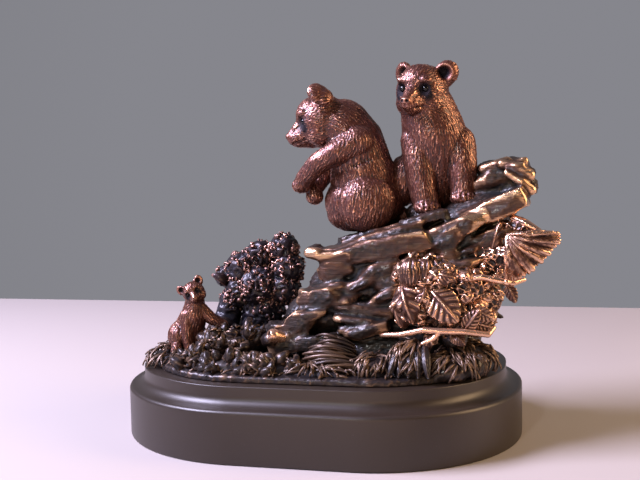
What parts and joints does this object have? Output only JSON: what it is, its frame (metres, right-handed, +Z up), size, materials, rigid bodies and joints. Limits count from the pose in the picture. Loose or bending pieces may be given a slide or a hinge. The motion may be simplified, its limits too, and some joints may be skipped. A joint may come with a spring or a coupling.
{
  "type": "bear cubs sculpture",
  "caption": "Table-top casting of bear cubs on a rock ledge with a bush, leaves, twigs and grass, in antique copper bronze on a two-tier oval plinth in satin black.",
  "frame": {"origin": "middle of the plinth's flat underside", "axes": "+Z up; the front, from which the sculpture is seen, is -Y; the ledge and the large leaf rise towards +X"},
  "size_m": [0.1781, 0.126, 0.1516],
  "materials": {
    "copper_bronze": "antique copper bronze plating over cast resin, bright on raised fur and leaves, dark patina in the hollows and towards the ground",
    "black_lacquer": "satin black lacquer with a faint brown sheen"
  },
  "bodies": {
    "root": {"bear_cubs_casting": "copper_bronze", "plinth": "black_lacquer"}
  },
  "joints": []
}
